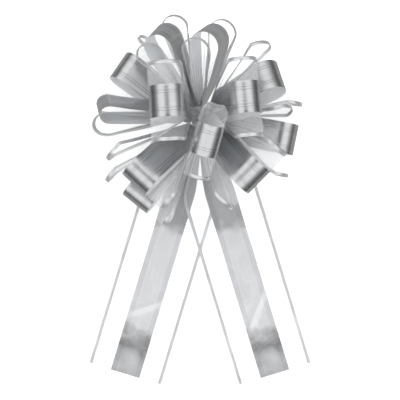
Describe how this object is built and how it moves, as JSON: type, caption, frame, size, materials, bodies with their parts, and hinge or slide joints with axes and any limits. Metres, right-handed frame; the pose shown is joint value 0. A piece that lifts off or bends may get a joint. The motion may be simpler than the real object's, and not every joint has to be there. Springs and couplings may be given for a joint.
{
  "type": "pull bow",
  "caption": "Gift pull bow of satin and sheer film ribbon: round loops on a pull-string stack, with two long flat tails.",
  "frame": {"origin": "middle of the underside of the string knot, on the surface that the bow lies on", "axes": "+Z out of the bow's face, +Y away from the tails, +X to the right as the bow is seen from the front"},
  "size_m": [0.1478, 0.2452, 0.0855],
  "materials": {
    "satin_film": "silver satin film with fine lengthwise lines",
    "sheer_film": "clear sheer film with a silver edge along each side",
    "gathered_ribbon": "welded gathered film",
    "pull_string": "narrow silver film ribbon"
  },
  "bodies": {
    "root": {"back_pull_string": "pull_string", "front_pull_string": "pull_string", "neck_01": "gathered_ribbon", "neck_02": "gathered_ribbon", "neck_03": "gathered_ribbon", "neck_04": "gathered_ribbon", "neck_05": "gathered_ribbon", "neck_06": "gathered_ribbon", "neck_07": "gathered_ribbon", "neck_08": "gathered_ribbon", "neck_09": "gathered_ribbon", "neck_10": "gathered_ribbon", "neck_11": "gathered_ribbon", "satin_loop_01": "satin_film", "satin_loop_04": "satin_film", "satin_loop_07": "satin_film", "satin_loop_09": "satin_film", "satin_loop_11": "satin_film", "sheer_loop_01": "sheer_film", "sheer_loop_04": "sheer_film", "sheer_loop_07": "sheer_film", "sheer_loop_09": "sheer_film", "sheer_loop_11": "sheer_film", "string_knot": "pull_string", "string_seal": "pull_string"},
    "loop_02": {"satin_loop_02": "satin_film", "sheer_loop_02": "sheer_film"},
    "loop_03": {"satin_loop_03": "satin_film", "sheer_loop_03": "sheer_film"},
    "loop_05": {"satin_loop_05": "satin_film", "sheer_loop_05": "sheer_film"},
    "loop_06": {"satin_loop_06": "satin_film", "sheer_loop_06": "sheer_film"},
    "loop_08": {"satin_loop_08": "satin_film", "sheer_loop_08": "sheer_film"},
    "loop_10": {"satin_loop_10": "satin_film", "sheer_loop_10": "sheer_film"},
    "loop_12": {"satin_loop_12": "satin_film", "sheer_loop_12": "sheer_film"},
    "tail_left": {"satin_tail_left": "satin_film", "sheer_tail_left": "sheer_film"},
    "tail_right": {"satin_tail_right": "satin_film", "sheer_tail_right": "sheer_film"}
  },
  "joints": [
    {"name": "loop_02_swivel", "type": "hinge", "parent": "root", "child": "loop_02", "pos_m": [0, 0.00203, 0.0058], "axis": [0, 0.3304, 0.9439], "range_deg": [-6, 6]},
    {"name": "loop_03_swivel", "type": "hinge", "parent": "root", "child": "loop_03", "pos_m": [0, 0.00273, 0.0078], "axis": [0, 0.3304, 0.9439], "range_deg": [-6, 2]},
    {"name": "loop_05_swivel", "type": "hinge", "parent": "root", "child": "loop_05", "pos_m": [0, 0.00413, 0.0118], "axis": [0, 0.3304, 0.9439], "range_deg": [-2, 6]},
    {"name": "loop_06_swivel", "type": "hinge", "parent": "root", "child": "loop_06", "pos_m": [0, 0.00483, 0.0138], "axis": [0, 0.3304, 0.9439], "range_deg": [-4, 4]},
    {"name": "loop_08_swivel", "type": "hinge", "parent": "root", "child": "loop_08", "pos_m": [0, 0.00623, 0.0178], "axis": [0, 0.3304, 0.9439], "range_deg": [-4, 4]},
    {"name": "loop_10_swivel", "type": "hinge", "parent": "root", "child": "loop_10", "pos_m": [0, 0.00763, 0.0218], "axis": [0, 0.3304, 0.9439], "range_deg": [-2, 6]},
    {"name": "loop_12_swivel", "type": "hinge", "parent": "root", "child": "loop_12", "pos_m": [0, 0.00903, 0.0258], "axis": [0, 0.3304, 0.9439], "range_deg": [-3, 2]},
    {"name": "tail_left_swing", "type": "hinge", "parent": "root", "child": "tail_left", "pos_m": [0, 0, 0], "axis": [0, 0, 1], "range_deg": [-4, 4]},
    {"name": "tail_right_swing", "type": "hinge", "parent": "root", "child": "tail_right", "pos_m": [0, 0, 0], "axis": [0, 0, 1], "range_deg": [-4, 4]}
  ]
}
